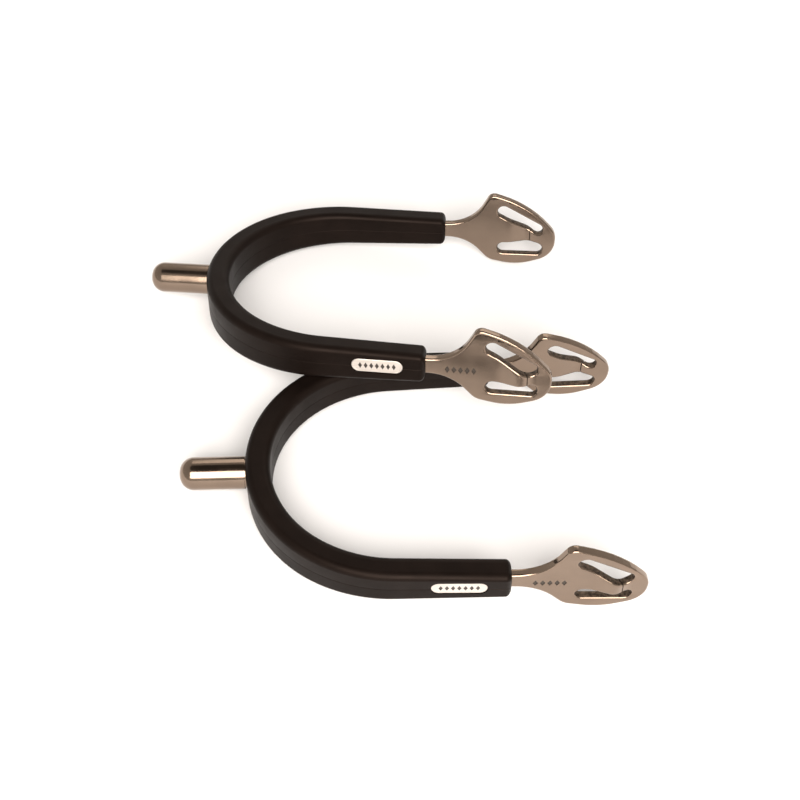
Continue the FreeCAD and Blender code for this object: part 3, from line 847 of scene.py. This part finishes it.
# ---------------------------------------------------------------- floor, light, camera
CAMERA_AZIMUTH = math.radians(-4.868)
CAMERA_ELEVATION = math.radians(48.217)
CAMERA_ROLL = math.radians(4.444)
CAMERA_DISTANCE = 0.42197
CAMERA_TARGET = Vector((0.003732, -0.001633, 0.009748))
CAMERA_LENS = 59.3
CAMERA_SHIFT = (0.0141, -0.0204)
FLOOR_WIDE = 30
LAMP_COLOUR = (1.0, 0.93, 0.865)


def pale_floor():
    """A plain pale floor, with a faint unevenness."""
    material, tree, skin = shader("floor_paint")
    where = tree.nodes.new("ShaderNodeTexCoord").outputs["Object"]
    tone = two_tone(tree, noise(tree, where, 6.0, 2.0), (0.865, 0.88, 0.90),
                    (0.88, 0.895, 0.915))
    tree.links.new(tone, skin.inputs["Base Color"])
    skin.inputs["Roughness"].default_value = 0.9
    skin.inputs["Specular IOR Level"].default_value = 0.1
    bpy.ops.mesh.primitive_plane_add(size=FLOOR_WIDE)
    floor = bpy.context.object
    floor.name = "floor"
    floor.data.materials.append(material)


def soft_light(name, place, wide, tall, watts):
    """A warm rectangular soft light that faces the pair."""
    lamp = bpy.data.lights.new(name, "AREA")
    lamp.shape = "RECTANGLE"
    lamp.size, lamp.size_y = wide, tall
    lamp.energy = watts
    lamp.color = LAMP_COLOUR
    light = linked(name, lamp)
    light.location = place
    light.rotation_euler = (-Vector(place)).to_track_quat("-Z", "Y").to_euler()


def room():
    """An even pale room, darker overhead."""
    world = bpy.data.worlds.new("room")
    bpy.context.scene.world = world
    world.use_nodes = True
    tree = world.node_tree
    back = tree.nodes["Background"]
    where = tree.nodes.new("ShaderNodeTexCoord")
    parts = tree.nodes.new("ShaderNodeSeparateXYZ")
    tree.links.new(where.outputs["Generated"], parts.inputs["Vector"])
    ramp = tree.nodes.new("ShaderNodeValToRGB")
    shades = ramp.color_ramp.elements
    shades[0].position = 0.0
    shades[0].color = (0.72, 0.68, 0.63, 1)
    shades[1].position = 0.93
    shades[1].color = (0.07, 0.062, 0.055, 1)
    middle = shades.new(0.88)
    middle.color = (0.54, 0.50, 0.46, 1)
    tree.links.new(parts.outputs["Z"], ramp.inputs["Fac"])
    tree.links.new(ramp.outputs["Color"], back.inputs["Color"])
    back.inputs["Strength"].default_value = 1.0


def camera():
    """The camera, in front of the pair and looking down on it."""
    lens = bpy.data.cameras.new("camera")
    lens.lens = CAMERA_LENS
    lens.sensor_width = 36
    lens.shift_x, lens.shift_y = CAMERA_SHIFT
    lens.clip_start = 0.01
    eye = linked("camera", lens)
    back = Vector((math.sin(CAMERA_AZIMUTH) * math.cos(CAMERA_ELEVATION),
                   -math.cos(CAMERA_AZIMUTH) * math.cos(CAMERA_ELEVATION),
                   math.sin(CAMERA_ELEVATION)))
    right = (-back).cross(Vector((0, 0, 1))).normalized()
    up = right.cross(-back)
    turned_right = math.cos(CAMERA_ROLL) * right + math.sin(CAMERA_ROLL) * up
    turned_up = -math.sin(CAMERA_ROLL) * right + math.cos(CAMERA_ROLL) * up
    turn = Matrix((turned_right, turned_up, back)).transposed().to_4x4()
    eye.matrix_world = Matrix.Translation(CAMERA_TARGET + back * CAMERA_DISTANCE) @ turn
    bpy.context.scene.camera = eye


pale_floor()
room()
soft_light("front_softbox", (0.0, -0.9, 0.75), 1.1, 0.9, 29)
soft_light("back_softbox", (0.2, 1.0, 0.8), 1.0, 0.7, 3.2)
camera()
bpy.context.scene.view_settings.view_transform = "Standard"
